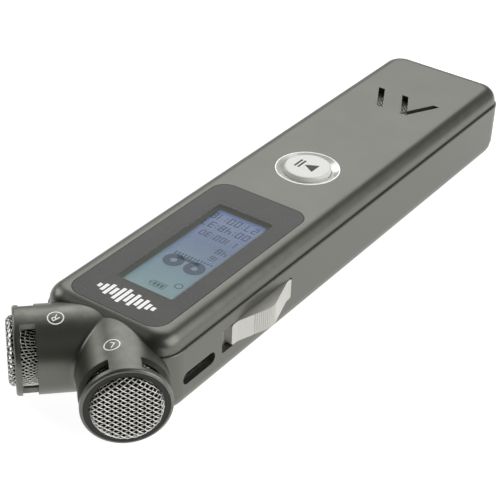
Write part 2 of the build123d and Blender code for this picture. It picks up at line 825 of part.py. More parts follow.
def make_usb_shell():
    """Sheet steel box, open at the +X end."""
    place = facing_x(inner_half_width - fit_gap - usb_shell_depth, usb_y, usb_z)
    plan = RectangleRounded(usb_shell_width, usb_shell_height, usb_shell_corner_radius)
    width = usb_shell_width - 2 * usb_sheet
    height = usb_shell_height - 2 * usb_sheet
    hollow_plan = RectangleRounded(width, height, usb_shell_corner_radius - usb_sheet)
    hollow = Pos(0, 0, usb_sheet) * extrude(hollow_plan, usb_shell_depth)
    return place * (extrude(plan, usb_shell_depth) - hollow)


def make_usb_tongue():
    x1 = inner_half_width - fit_gap
    x0 = x1 - usb_shell_depth + usb_sheet + touch_gap
    half = usb_tongue_width / 2
    top = usb_z + usb_shell_height / 2 - usb_sheet - usb_tongue_drop
    tongue = block(x0, x1 - usb_tongue_inset, usb_y - half, usb_y + half, top - usb_tongue_thickness, top)
    half = usb_shell_width / 2 - usb_sheet - usb_back_gap
    z_half = usb_shell_height / 2 - usb_sheet - fit_gap
    back = block(x0, x0 + usb_back_thickness, usb_y - half, usb_y + half, usb_z - z_half, usb_z + z_half)
    return one_solid(tongue + back)


def make_headphone_jack():
    y1 = jack_front_y + jack_body_length
    half = jack_body_width / 2
    z_half = jack_body_height / 2
    body = block(-half, half, jack_front_y, y1, jack_z - z_half, jack_z + z_half)
    lengthwise = Rot(90, 0, 0)
    body += Pos(0, (y1 + rear_y) / 2, jack_z) * lengthwise * Cylinder(jack_nose_radius, rear_y - y1)
    bore = Cylinder(jack_bore_radius, jack_bore_length)
    return one_solid(body - Pos(0, rear_y - jack_bore_length / 2, jack_z) * lengthwise * bore)


def make_battery_cell():
    low = wall + battery_pad_thickness + fit_gap
    high = board_bottom - battery_board_gap
    cell = block(-battery_half_width, battery_half_width, battery_y0, battery_y1, low, high)
    return fillet(cell.edges().filter_by(Axis.Y), battery_corner_radius)


def make_battery_pad():
    half = battery_half_width - battery_pad_margin
    y0 = battery_y0 + battery_pad_margin
    y1 = battery_y1 - battery_pad_margin
    return block(-half, half, y0, y1, wall + touch_gap, wall + battery_pad_thickness)


def make_speaker_driver():
    """Frame with its magnet pot below and a seat for the cone."""
    low = speaker_top - basket_frame_height
    seat = speaker_top - cone_depth - cone_thickness - fit_gap
    driver = upright(speaker_radius, 0, speaker_y, low, speaker_top)
    driver += upright(magnet_radius, 0, speaker_y, speaker_low, low)
    return one_solid(driver - upright(cone_radius, 0, speaker_y, seat, speaker_top + beyond))


def make_speaker_cone():
    """Thin film: raised cap, cone and flat surround."""
    rim = cone_radius - fit_gap
    line = [
        (0, speaker_top - cap_drop),
        (cone_cap_radius, speaker_top - cone_depth),
        (rim - surround_width, speaker_top - surround_drop),
        (rim, speaker_top - surround_drop),
    ]
    under = [(x, z - cone_thickness) for x, z in reversed(line)]
    film = revolve(Plane.XZ * make_face(Polyline(*line, *under, close=True)), Axis.Z)
    return Pos(0, speaker_y, 0) * film


def make_speaker_gasket():
    low = speaker_top + touch_gap
    high = speaker_top + gasket_height
    ring = upright(speaker_radius, 0, speaker_y, low, high)
    return ring - upright(cone_radius, 0, speaker_y, low - beyond, high + beyond)


def make_speaker_mesh():
    radius = speaker_radius + speaker_mesh_margin
    low = ceiling_z - speaker_mesh_thickness + touch_gap
    return upright(radius, 0, speaker_y, low, ceiling_z - touch_gap)


def make_chip(from_front, width, length, height):
    """A flat chip under the board."""
    x0 = chip_x - width / 2
    y0 = front_y + from_front - length / 2
    top = board_bottom - touch_gap
    return block(x0, x0 + width, y0, y0 + length, top - height, top)


def make_housing_screws():
    """Pan head screws driven up from the back."""
    screws = []
    for x, y in screw_places:
        screw = upright(screw_head_radius, x, y, screw_head_inset, screw_head_top)
        screw = fillet(edges_at(screw, screw_head_inset), screw_head_edge_radius)
        screw += upright(screw_radius - touch_gap, x, y, screw_head_top, board_top + screw_bite)
        for turn in (0, 90):
            slot = Box(screw_slot_length, screw_slot_width, 2 * screw_slot_depth)
            screw -= Pos(x, y, screw_head_inset) * Rot(0, 0, turn) * slot
        screws.append(one_solid(screw))
    return Compound(children=screws)


def build():
    """Every sub-part by its name."""
    nodes = {
        "front_shell": make_front_shell(),
        "mid_frame": make_mid_frame(),
        "rear_cover": make_rear_cover(),
        "display_window": make_display_window(),
        "lcd_glass": make_lcd_glass(),
        "lcd_backlight": make_lcd_backlight(),
        "lcd_frame": make_lcd_frame(),
        "lcd_flex": make_lcd_flex(),
        "button_bezel": make_button_bezel(),
        "play_button": make_play_button(),
        "play_switch_body": make_play_switch_body(),
        "play_switch_plunger": make_play_switch_plunger(),
        "record_slider": make_record_slider(),
        "slide_switch_body": make_slide_switch_body(),
        "slide_switch_lever": make_slide_switch_lever(),
        "main_board": make_main_board(),
        "processor_chip": make_chip(processor_from_front, processor_size, processor_size, processor_height),
        "memory_chip": make_chip(memory_from_front, memory_width, memory_length, memory_height),
        "usb_shell": make_usb_shell(),
        "usb_tongue": make_usb_tongue(),
        "headphone_jack": make_headphone_jack(),
        "battery_cell": make_battery_cell(),
        "battery_pad": make_battery_pad(),
        "speaker_driver": make_speaker_driver(),
        "speaker_cone": make_speaker_cone(),
        "speaker_gasket": make_speaker_gasket(),
        "speaker_mesh": make_speaker_mesh(),
        "mic_head_shell": make_mic_head(),
        "housing_screws": make_housing_screws(),
    }
    for side, word in ((-1, "right"), (1, "left")):
        nodes["grille_ring_" + word] = make_grille_ring(side)
        nodes["mesh_basket_" + word] = make_mesh_basket(side)
        nodes["mic_capsule_" + word] = make_capsule(side)
        nodes["capsule_boot_" + word] = make_capsule_boot(side)
        nodes["mic_lead_" + word] = make_mic_lead(side)
    for name, y in zip(key_names, key_places):
        nodes[name + "_key"] = make_key(y)
        nodes[name + "_switch_body"] = make_side_switch_body(y)
        nodes[name + "_switch_plunger"] = make_side_plunger(y)
    return nodes


os.makedirs("parts", exist_ok=True)
for name, shape in build().items():
    export_step(shape, "parts/" + name + ".step")
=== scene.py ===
"""Looks of the handheld voice recorder: finishes, woven wire, display and printed marks."""
from math import ceil, cos, hypot, pi, radians, sin

import bmesh
import bpy
from mathutils import Matrix, Vector


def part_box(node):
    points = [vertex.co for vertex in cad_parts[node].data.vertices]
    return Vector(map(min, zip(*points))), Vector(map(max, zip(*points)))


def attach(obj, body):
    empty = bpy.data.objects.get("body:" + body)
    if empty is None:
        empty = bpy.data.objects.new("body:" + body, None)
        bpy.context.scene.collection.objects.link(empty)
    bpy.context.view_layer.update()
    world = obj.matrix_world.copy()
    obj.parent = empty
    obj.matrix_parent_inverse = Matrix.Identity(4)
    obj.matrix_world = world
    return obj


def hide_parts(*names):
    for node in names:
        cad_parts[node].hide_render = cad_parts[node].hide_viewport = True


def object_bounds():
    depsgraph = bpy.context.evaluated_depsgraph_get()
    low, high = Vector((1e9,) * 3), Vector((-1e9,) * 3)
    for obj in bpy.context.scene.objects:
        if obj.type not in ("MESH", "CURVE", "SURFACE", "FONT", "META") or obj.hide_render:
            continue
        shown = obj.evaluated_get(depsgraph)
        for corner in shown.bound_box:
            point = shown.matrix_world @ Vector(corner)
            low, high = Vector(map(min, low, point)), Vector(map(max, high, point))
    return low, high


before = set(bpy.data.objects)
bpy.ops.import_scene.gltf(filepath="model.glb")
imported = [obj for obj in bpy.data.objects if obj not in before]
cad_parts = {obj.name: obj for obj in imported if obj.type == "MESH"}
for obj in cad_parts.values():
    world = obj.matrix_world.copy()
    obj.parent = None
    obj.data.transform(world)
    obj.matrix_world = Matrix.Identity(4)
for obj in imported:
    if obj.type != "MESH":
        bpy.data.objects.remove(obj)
cad_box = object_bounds()

MM = 0.001
UP = Vector((0, 0, 1))

# Places taken from the frame
frame_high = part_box("mid_frame")[1]
shell_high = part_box("front_shell")[1]
window_low, window_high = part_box("display_window")
lcd_low, lcd_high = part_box("lcd_glass")
button_low, button_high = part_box("play_button")
slider_low, slider_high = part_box("record_slider")
ring_low, ring_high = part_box("grille_ring_left")
basket_low, basket_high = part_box("mesh_basket_left")
mesh_low, mesh_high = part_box("speaker_mesh")
head_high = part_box("mic_head_shell")[1]
casing_half = Vector((frame_high.x, frame_high.y, shell_high.z / 2))

# Microphone barrels
barrel_turn = radians(45)
barrel_radius = head_high.z / 2
barrel_z = head_high.z / 2
ring_radius = (ring_high.z - ring_low.z) / 2
rim_reach = ring_high.x / sin(barrel_turn) - ring_radius
barrel_meeting = Vector((0, ring_low.y + ring_high.x, barrel_z))
basket_radius = (basket_high.z - basket_low.z) / 2
basket_rise = 1.1 * MM
basket_edge = 0.8 * MM
basket_depth = 5.8 * MM

# Woven wire
wire_radius = 0.09 * MM
wire_lift = 0.045 * MM             # of a wire over and under the ones it crosses
wire_step = 0.707 * MM            # between crossings along a wire
wire_half_angle = radians(36.4)
wire_samples = 4                  # points between crossings
speaker_wire_radius = 0.075 * MM
speaker_wire_step = 0.5 * MM
speaker_wire_lift = 0.03 * MM     # the least that lets its wires cross
speaker_weave_gap = 0.04 * MM     # below the top of the plain sheet
speaker_weave_inset = 0.2 * MM

# Felt liner under a basket
liner_gap = 0.35 * MM             # inside the basket
liner_drop = 0.75 * MM            # below the basket's face
liner_depth = 4.4 * MM            # below the rim
liner_edge = 0.6 * MM
liner_wall = 0.1 * MM

# Printed marks
print_depth = 0.006 * MM
print_lift = 0.004 * MM
letter_size = 1.75 * MM
letter_ring_radius = 1.25 * MM
letter_ring_line = 0.17 * MM
letter_along = 8.95 * MM          # from where the barrels meet
letter_across = 1.5 * MM
letter_turn = radians(30)
wave_heights = [0.9, 1.8, 2.8, 1.9, 3.2, 3.8, 2.2, 3.2, 1.9, 2.6, 1.5, 0.9]
wave_pitch = 0.92 * MM
wave_bar = 0.6 * MM
wave_inset = 3.75 * MM            # from the window's front end
wave_shift = 0.1 * MM
pause_place = -1.55 * MM          # from the button's middle
pause_half_spread = 0.35 * MM
pause_bar = 0.38 * MM
pause_half_height = 1.25 * MM
play_place = 0.85 * MM
play_radius = 1.5 * MM


def linear(red, green, blue):
    """Linear colour from screen values of 0 to 255."""
    shares = [value / 255 for value in (red, green, blue)]
    return [c / 12.92 if c <= 0.04045 else ((c + 0.055) / 1.055) ** 2.4 for c in shares] + [1.0]


# Shared surface effects
def new_group(name, inputs, outputs):
    """A shader node group with its sockets, and its two end nodes."""
    group = bpy.data.node_groups.new(name, "ShaderNodeTree")
    for label, kind, value in inputs:
        socket = group.interface.new_socket(label, in_out="INPUT", socket_type="NodeSocket" + kind)
        if value is not None:
            socket.default_value = value
    for label, kind in outputs:
        group.interface.new_socket(label, in_out="OUTPUT", socket_type="NodeSocket" + kind)
    return group, group.nodes.new("NodeGroupInput"), group.nodes.new("NodeGroupOutput")


def math_node(tree, operation, *values, clamp=False):
    """A Math node whose inputs are sockets or numbers."""
    node = tree.nodes.new("ShaderNodeMath")
    node.operation = operation
    node.use_clamp = clamp
    for socket, value in zip(node.inputs, values):
        plug(tree, value, socket)
    return node.outputs[0]


def vector_node(tree, operation, *values):
    node = tree.nodes.new("ShaderNodeVectorMath")
    node.operation = operation
    for socket, value in zip(node.inputs, values):
        plug(tree, value, socket)
    return node.outputs[0]


def plug(tree, value, socket):
    """Links a socket, or sets a plain value."""
    if isinstance(value, bpy.types.NodeSocket):
        tree.links.new(value, socket)
    else:
        socket.default_value = value


def noise_node(tree, vector, scale, detail=2.0, roughness=0.5):
    node = tree.nodes.new("ShaderNodeTexNoise")
    plug(tree, vector, node.inputs["Vector"])
    plug(tree, scale, node.inputs["Scale"])
    node.inputs["Detail"].default_value = detail
    node.inputs["Roughness"].default_value = roughness
    return node.outputs["Fac"]


def smooth_range(tree, value, low, high, to_low=0.0, to_high=1.0, steps="SMOOTHSTEP"):
    node = tree.nodes.new("ShaderNodeMapRange")
    node.interpolation_type = steps
    for socket, number in zip(node.inputs, (value, low, high, to_low, to_high)):
        plug(tree, number, socket)
    return node.outputs["Result"]


def mix_colour(tree, factor, first, second):
    node = tree.nodes.new("ShaderNodeMix")
    node.data_type = "RGBA"
    plug(tree, factor, node.inputs["Factor"])
    plug(tree, first, node.inputs[6])
    plug(tree, second, node.inputs[7])
    return node.outputs[2]


def make_grain_group():
    """Fine grain with a slow mottle: colour, roughness change and height."""
    group, start, end = new_group(
        "fine_grain",
        [("Vector", "Vector", None), ("Colour", "Color", (0.5, 0.5, 0.5, 1)), ("Scale", "Float", 5000.0),
         ("Strength", "Float", 0.1), ("Roughness", "Float", 0.4), ("Spread", "Float", 0.08)],
        [("Colour", "Color"), ("Roughness", "Float"), ("Height", "Float")],
    )
    vector = start.outputs["Vector"]
    fine = noise_node(group, vector, start.outputs["Scale"], 3.0)
    slow = noise_node(group, vector, 90.0, 3.0)
    fine_change = math_node(group, "SUBTRACT", fine, 0.5)
    slow_change = math_node(group, "SUBTRACT", slow, 0.5)
    change = math_node(group, "ADD", fine_change, math_node(group, "MULTIPLY", slow_change, 0.6))
    gain = math_node(group, "MULTIPLY_ADD", change, start.outputs["Strength"], 1.0)
    scaled = vector_node(group, "MULTIPLY", start.outputs["Colour"], gain)
    group.links.new(scaled, end.inputs["Colour"])
    spread = start.outputs["Spread"]
    rough = math_node(group, "MULTIPLY_ADD", slow_change, spread, start.outputs["Roughness"])
    rough = math_node(group, "MULTIPLY_ADD", fine_change, spread, rough, clamp=True)
    group.links.new(rough, end.inputs["Roughness"])
    group.links.new(fine, end.inputs["Height"])
    return group


def make_edge_group():
    """Worn edges of a box-like piece: where two or more of its sides are near."""
    group, start, end = new_group(
        "worn_edges",
        [("Vector", "Vector", None), ("Middle", "Vector", None), ("Half Size", "Vector", None),
         ("Width", "Float", 0.001)],
        [("Mask", "Float")],
    )
    offset = vector_node(group, "SUBTRACT", start.outputs["Vector"], start.outputs["Middle"])
    away = vector_node(group, "ABSOLUTE", offset)
    spare = vector_node(group, "SUBTRACT", start.outputs["Half Size"], away)
    parts = group.nodes.new("ShaderNodeSeparateXYZ")
    group.links.new(spare, parts.inputs[0])
    near = [smooth_range(group, axis, start.outputs["Width"], 0.0) for axis in parts.outputs]
    pairs = [math_node(group, "MULTIPLY", near[i], near[(i + 1) % 3]) for i in range(3)]
    both = math_node(group, "MAXIMUM", math_node(group, "MAXIMUM", pairs[0], pairs[1]), pairs[2])
    patchy = smooth_range(group, noise_node(group, start.outputs["Vector"], 400.0, 4.0, 0.65), 0.35, 0.7)
    group.links.new(math_node(group, "MULTIPLY", both, patchy), end.inputs["Mask"])
    return group


def make_dust_group():
    """A thin film of dust that settles on faces turned up."""
    group, start, end = new_group(
        "settled_dust",
        [("Vector", "Vector", None), ("Amount", "Float", 0.1)],
        [("Mask", "Float")],
    )
    geometry = group.nodes.new("ShaderNodeNewGeometry")
    parts = group.nodes.new("ShaderNodeSeparateXYZ")
    group.links.new(geometry.outputs["Normal"], parts.inputs[0])
    facing = smooth_range(group, parts.outputs["Z"], 0.2, 1.0)
    cloud = smooth_range(group, noise_node(group, start.outputs["Vector"], 160.0, 5.0, 0.6), 0.4, 0.75)
    specks = smooth_range(group, noise_node(group, start.outputs["Vector"], 2600.0, 2.0), 0.62, 0.72)
    film = math_node(group, "MAXIMUM", math_node(group, "MULTIPLY", cloud, 0.5), specks)
    amount = math_node(group, "MULTIPLY", start.outputs["Amount"], facing)
    group.links.new(math_node(group, "MULTIPLY", film, amount), end.inputs["Mask"])
    return group


dust_colour = linear(190, 186, 178)
bump_height = 0.01 * MM
grain_group = make_grain_group()
edge_group = make_edge_group()
dust_group = make_dust_group()


def use_group(tree, group, **values):
    """Places a group and sets its inputs, whose names have spaces for underscores."""
    node = tree.nodes.new("ShaderNodeGroup")
    node.node_tree = group
    for label, value in values.items():
        plug(tree, value, node.inputs[label.replace("_", " ")])
    return node.outputs


def bare_material(name):
    """A new material: its tree, shader and Object coordinates."""
    material = bpy.data.materials.new(name)
    material.use_nodes = True
    tree = material.node_tree
    shader = tree.nodes["Principled BSDF"]
    place = tree.nodes.new("ShaderNodeTexCoord").outputs["Object"]
    return material, tree, shader, place


def add_bump(tree, shader, height, strength, distance):
    bump = tree.nodes.new("ShaderNodeBump")
    bump.inputs["Strength"].default_value = strength
    bump.inputs["Distance"].default_value = distance
    tree.links.new(height, bump.inputs["Height"])
    tree.links.new(bump.outputs["Normal"], shader.inputs["Normal"])


def grained(name, colour, roughness, metallic=0.0, scale=5000.0, strength=0.12, spread=0.08,
            bump=0.15, dust=0.05, wear=None, wear_colour=None, coat=0.0, glow=0.0):
    """A solid finish with grain, dust and, for a box (middle, half size, width), worn edges; a glow above
    zero adds painted light, an emission though the part is no lamp.
    """
    material, tree, shader, place = bare_material(name)
    grain = use_group(tree, grain_group, Vector=place, Colour=colour, Scale=scale,
                      Strength=strength, Roughness=roughness, Spread=spread)
    surface = grain["Colour"]
    if wear:
        middle, half, width = wear
        worn = use_group(tree, edge_group, Vector=place, Middle=middle, Half_Size=half, Width=width)
        surface = mix_colour(tree, worn["Mask"], surface, wear_colour)
    film = use_group(tree, dust_group, Vector=place, Amount=dust)
    surface = mix_colour(tree, film["Mask"], surface, dust_colour)
    tree.links.new(surface, shader.inputs["Base Color"])
    tree.links.new(grain["Roughness"], shader.inputs["Roughness"])
    shader.inputs["Metallic"].default_value = metallic
    if coat:
        shader.inputs["Coat Weight"].default_value = coat
        shader.inputs["Coat Roughness"].default_value = 0.1
    # Painted light: emission that makes the surface glow though it is no lamp
    if glow:
        shader.inputs["Emission Color"].default_value = (1, 1, 1, 1)
        shader.inputs["Emission Strength"].default_value = glow
    add_bump(tree, shader, grain["Height"], bump, bump_height)
    return material


def box_wear(low, high, width):
    return (low + high) / 2, (high - low) / 2, width


# Finishes
paint_colour = linear(108, 108, 102)
casing_wear = (Vector((0, 0, casing_half.z)), casing_half, 2.2 * MM)
casing_paint = grained("satin_grey_paint", paint_colour, 0.36, metallic=0.75, scale=9000.0,
                       strength=0.22, spread=0.1, bump=0.12, dust=0.05, wear=casing_wear,
                       wear_colour=linear(126, 126, 120))
key_paint = grained("key_grey_paint", paint_colour, 0.4, metallic=0.7, scale=9000.0, strength=0.2)
white_plastic = grained("white_button_plastic", linear(250, 250, 245), 0.32, scale=6000.0,
                        strength=0.04, bump=0.05, dust=0.12, coat=0.3)
silver_paint = grained("slider_silver_paint", linear(196, 195, 188), 0.38, metallic=0.35, scale=9000.0,
                       strength=0.14, dust=0.08, wear=box_wear(slider_low, slider_high, 0.5 * MM),
                       wear_colour=linear(215, 214, 208))
black_plastic = grained("black_moulded_plastic", linear(18, 18, 18), 0.5, scale=3500.0,
                        strength=0.25, bump=0.3)
# Grille ring: dark colour, partly its own dark finish and partly a painted dark reflection of its face
dark_ring = grained("dark_ring_painted_reflection", linear(46, 46, 44), 0.34, metallic=0.6, scale=8000.0,
                    strength=0.15, dust=0.1)
chrome = grained("polished_bezel_chrome", linear(240, 240, 236), 0.18, metallic=0.35, scale=2500.0,
                 strength=0.03, spread=0.03, bump=0.02, dust=0.04)
plated = grained("plated_steel", linear(185, 184, 180), 0.25, metallic=1.0, scale=1800.0,
                 strength=0.1, spread=0.15, bump=0.1)
mesh_wire = grained("bright_mesh_wire", linear(222, 220, 214), 0.3, metallic=0.9, scale=7000.0,
                    strength=0.35, spread=0.2, bump=0.2, dust=0.0)
screw_black = grained("black_passivated_screw", linear(52, 52, 54), 0.35, metallic=0.9, scale=3000.0,
                      strength=0.3, spread=0.2, bump=0.2)
rubber = grained("black_rubber", linear(28, 28, 28), 0.7, scale=2500.0, strength=0.3, bump=0.3)
felt = grained("black_felt", linear(5, 5, 5), 0.95, scale=4000.0, strength=0.6, bump=0.8, dust=0.0)
laminate = grained("green_board_laminate", linear(30, 92, 52), 0.35, scale=1200.0, strength=0.3,
                   spread=0.1, coat=0.4)
amber_film = grained("amber_cable_film", linear(190, 120, 45), 0.4, scale=1500.0, strength=0.2)
foil = grained("cell_pouch_foil", linear(190, 190, 194), 0.3, metallic=0.9, scale=900.0,
               strength=0.15, spread=0.2, bump=0.4)
cone_film = grained("speaker_cone_film", linear(40, 40, 44), 0.4, scale=1500.0, strength=0.25, coat=0.2)
# White print with painted light: a glow that brightens the marks as if more light fell on them
white_ink_painted_glow = grained("white_ink_painted_glow", linear(240, 240, 236), 0.45, scale=5000.0, strength=0.06,
                    dust=0.03, glow=0.3)
dark_ink = grained("dark_grey_ink", linear(18, 18, 18), 0.45, scale=5000.0, strength=0.1, dust=0.03)


# Display
lit_low = Vector((lcd_low.x + 1.75 * MM, lcd_low.y + 2.2 * MM, lcd_high.z))
lit_high = Vector((lcd_high.x - 1.4 * MM, lcd_high.y - 2.2 * MM, lcd_high.z))
panel_colour = linear(42, 42, 39)
# Painted shade: darker colour for the dark display frame and its shadow seen through the window
shaded_frame_colour = linear(36, 38, 34)
clear_alpha = 0.1
clear_margin = 0.7 * MM
clear_shift = Vector((0.3 * MM, -0.35 * MM, 0))
clear_corner = 0.5 * MM
band_margin = 1.5 * MM
band_corner = 1.2 * MM
soft_line = 0.05 * MM
# Painted light: grey glow on the display's border, which the window would leave in shade
painted_border_light = linear(94, 97, 91)
dot_pitch = 0.24 * MM
lcd_glow = 0.68
segment_glow = 0.8


def rounded_reach(tree, place, middle, half, corner):
    """Distance outside a box in plan, less its corner radius where it turns."""
    parts = tree.nodes.new("ShaderNodeSeparateXYZ")
    offset = vector_node(tree, "SUBTRACT", place, middle)
    tree.links.new(vector_node(tree, "ABSOLUTE", offset), parts.inputs[0])
    squares = []
    for axis, size in (("X", half.x), ("Y", half.y)):
        past = math_node(tree, "SUBTRACT", parts.outputs[axis], size - corner)
        past = math_node(tree, "MAXIMUM", past, 0.0)
        squares.append(math_node(tree, "POWER", past, 2.0))
    return math_node(tree, "SQRT", math_node(tree, "ADD", *squares))


def make_window_finish():
    """Tinted panel, painted under its face except over the lit display, with a darker band round it:
    painted shade for the dark display frame and its shadow seen through the panel.
    """
    material, tree, shader, place = bare_material("tinted_window")
    middle = (lit_low + lit_high) / 2
    half = (lit_high - lit_low) / 2
    clear = half + Vector((clear_margin, clear_margin, 0))
    band = half + Vector((band_margin, band_margin, 0))
    reach = rounded_reach(tree, place, middle, band, band_corner)
    outside = smooth_range(tree, reach, band_corner - soft_line, band_corner + soft_line)
    # Darker band of painted shade round the display, with the lighter panel colour outside it
    colour = mix_colour(tree, outside, shaded_frame_colour, panel_colour)
    grain = use_group(tree, grain_group, Vector=place, Colour=colour, Scale=3000.0,
                      Strength=0.06, Roughness=0.26, Spread=0.05)
    reach = rounded_reach(tree, place, middle + clear_shift, clear, clear_corner)
    masked = smooth_range(tree, reach, clear_corner - soft_line, clear_corner + soft_line)
    parts = tree.nodes.new("ShaderNodeSeparateXYZ")
    tree.links.new(place, parts.inputs[0])
    upper = math_node(tree, "GREATER_THAN", parts.outputs["Z"], (window_low.z + window_high.z) / 2)
    painted = math_node(tree, "MULTIPLY", masked, upper)
    alpha = math_node(tree, "MULTIPLY_ADD", painted, 1.0 - clear_alpha, clear_alpha)
    film = use_group(tree, dust_group, Vector=place, Amount=0.05)
    surface = mix_colour(tree, film["Mask"], grain["Colour"], dust_colour)
    tree.links.new(surface, shader.inputs["Base Color"])
    tree.links.new(grain["Roughness"], shader.inputs["Roughness"])
    tree.links.new(alpha, shader.inputs["Alpha"])
    shader.inputs["Specular IOR Level"].default_value = 0.3
    add_bump(tree, shader, grain["Height"], 0.03, bump_height)
    return material


def make_lcd_finish():
    """Lit face that turns from teal to violet-blue, in a border that gets painted light: a grey glow in
    place of the light the window keeps off it.
    """
    material, tree, shader, place = bare_material("lit_display_face")
    parts = tree.nodes.new("ShaderNodeSeparateXYZ")
    tree.links.new(place, parts.inputs[0])
    ramp = tree.nodes.new("ShaderNodeValToRGB")
    stops = [(0.0, linear(122, 160, 166)), (0.3, linear(108, 142, 164)),
             (0.62, linear(92, 116, 160)), (1.0, linear(116, 136, 184))]
    while len(ramp.color_ramp.elements) < len(stops):
        ramp.color_ramp.elements.new(0.5)
    for element, (position, colour) in zip(ramp.color_ramp.elements, stops):
        element.position = position
        element.color = colour
    share = smooth_range(tree, parts.outputs["Y"], lit_low.y, lit_high.y, steps="LINEAR")
    uneven = noise_node(tree, place, 220.0, 3.0)
    share = math_node(tree, "MULTIPLY_ADD", math_node(tree, "SUBTRACT", uneven, 0.5), 0.12, share)
    tree.links.new(share, ramp.inputs["Fac"])
    dots = [math_node(tree, "SINE", math_node(tree, "MULTIPLY", parts.outputs[axis], 2 * pi / dot_pitch))
            for axis in ("X", "Y")]
    grid = math_node(tree, "MULTIPLY_ADD", math_node(tree, "MAXIMUM", *dots), 0.03, 0.97)
    inside = [
        math_node(tree, "GREATER_THAN", parts.outputs["X"], lit_low.x),
        math_node(tree, "LESS_THAN", parts.outputs["X"], lit_high.x),
        math_node(tree, "GREATER_THAN", parts.outputs["Y"], lit_low.y),
        math_node(tree, "LESS_THAN", parts.outputs["Y"], lit_high.y),
    ]
    mask = grid
    for edge in inside:
        mask = math_node(tree, "MULTIPLY", mask, edge)
    # The border glows with painted light, the lit middle with the display's own backlight
    glow = mix_colour(tree, mask, painted_border_light, ramp.outputs["Color"])
    tree.links.new(glow, shader.inputs["Emission Color"])
    shader.inputs["Emission Strength"].default_value = lcd_glow
    grain = use_group(tree, grain_group, Vector=place, Colour=linear(84, 87, 81), Scale=3000.0,
                      Strength=0.1, Roughness=0.35, Spread=0.05)
    tree.links.new(grain["Colour"], shader.inputs["Base Color"])
    tree.links.new(grain["Roughness"], shader.inputs["Roughness"])
    return material


def make_segment_ink():
    """Dark violet-blue of switched-on display segments, faintly lit from behind."""
    material, tree, shader, place = bare_material("display_segment_ink")
    grain = use_group(tree, grain_group, Vector=place, Colour=linear(66, 84, 100), Scale=4000.0,
                      Strength=0.2, Roughness=0.4, Spread=0.05)
    tree.links.new(grain["Colour"], shader.inputs["Emission Color"])
    tree.links.new(grain["Roughness"], shader.inputs["Roughness"])
    shader.inputs["Emission Strength"].default_value = segment_glow
    shader.inputs["Base Color"].default_value = linear(20, 24, 40)
    return material


window_finish = make_window_finish()
lcd_finish = make_lcd_finish()
segment_ink = make_segment_ink()

node_finishes = {
    "front_shell": casing_paint, "mid_frame": casing_paint, "rear_cover": casing_paint,
    "mic_head_shell": casing_paint, "display_window": window_finish, "lcd_glass": lcd_finish,
    "lcd_backlight": white_plastic, "lcd_frame": black_plastic, "lcd_flex": amber_film,
    "button_bezel": chrome, "play_button": white_plastic, "record_slider": silver_paint,
    "slide_switch_body": plated, "slide_switch_lever": black_plastic, "main_board": laminate,
    "processor_chip": black_plastic, "memory_chip": black_plastic, "usb_shell": plated,
    "usb_tongue": black_plastic, "headphone_jack": black_plastic, "battery_cell": foil,
    "battery_pad": felt, "speaker_driver": plated, "speaker_cone": cone_film,
    "speaker_gasket": felt, "housing_screws": screw_black, "play_switch_body": black_plastic,
    "play_switch_plunger": black_plastic,
}
for word in ("left", "right"):
    node_finishes["grille_ring_" + word] = dark_ring
    node_finishes["mic_capsule_" + word] = plated
    node_finishes["capsule_boot_" + word] = rubber
    node_finishes["mic_lead_" + word] = rubber
for word in ("menu", "volume_down", "volume_up"):
    node_finishes[word + "_key"] = key_paint
    node_finishes[word + "_switch_body"] = black_plastic
    node_finishes[word + "_switch_plunger"] = black_plastic
for name, finish in node_finishes.items():
    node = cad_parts[name]
    node.data.materials.clear()
    node.data.materials.append(finish)


# Pieces
def finish_piece(name, mesh, finish, body):
    """Links a mesh as a piece that rides on a body."""
    mesh.name = name
    piece = bpy.data.objects.new(name, mesh)
    bpy.context.scene.collection.objects.link(piece)
    mesh.materials.clear()
    mesh.materials.append(finish)
    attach(piece, body)
    return piece


def mesh_of(bm):
    mesh = bpy.data.meshes.new("piece")
    bm.to_mesh(mesh)
    bm.free()
    return mesh


def add_slab(bm, x0, x1, y0, y1, z0, z1):
    """A thin box given by its faces."""
    size = Matrix.Diagonal((x1 - x0, y1 - y0, z1 - z0, 1))
    middle = Matrix.Translation(((x0 + x1) / 2, (y0 + y1) / 2, (z0 + z1) / 2))
    bmesh.ops.create_cube(bm, size=1.0, matrix=middle @ size)


def add_ring(bm, outer, inner, z0, z1, middle=(0, 0), segments=40):
    """A flat ring with a square section, spun round a vertical axis."""
    corners = [(inner, z0), (outer, z0), (outer, z1), (inner, z1)]
    verts = [bm.verts.new((middle[0] + x, middle[1], z)) for x, z in corners]
    edges = [bm.edges.new((verts[i], verts[(i + 1) % 4])) for i in range(4)]
    bmesh.ops.spin(bm, geom=verts + edges, cent=(middle[0], middle[1], 0), axis=(0, 0, 1),
                   angle=2 * pi, steps=segments, use_merge=True, use_duplicate=False)
    bmesh.ops.remove_doubles(bm, verts=bm.verts, dist=1e-8)
    bmesh.ops.recalc_face_normals(bm, faces=bm.faces)


def letter_bmesh(letters, size):
    """Raised letters, centred on the origin, as a bmesh."""
    curve = bpy.data.curves.new("letters", "FONT")
    curve.body = letters
    curve.size = size
    curve.align_x = "CENTER"
    curve.align_y = "CENTER"
    curve.extrude = print_depth / 2
    holder = bpy.data.objects.new("letters", curve)
    bpy.context.scene.collection.objects.link(holder)
    bpy.context.view_layer.update()
    mesh = bpy.data.meshes.new_from_object(holder.evaluated_get(bpy.context.evaluated_depsgraph_get()))
    bpy.data.objects.remove(holder)
    bm = bmesh.new()
    bm.from_mesh(mesh)
    bpy.data.meshes.remove(mesh)
    bmesh.ops.remove_doubles(bm, verts=bm.verts, dist=1e-8)
    return bm


def barrel_matrix(side):
    """A barrel's own frame: Z out along its axis, Y up."""
    outwards = Vector((side * sin(barrel_turn), -cos(barrel_turn), 0))
    sideways = UP.cross(outwards)
    turn = Matrix((sideways, UP, outwards)).transposed().to_4x4()
    return Matrix.Translation(barrel_meeting) @ turn


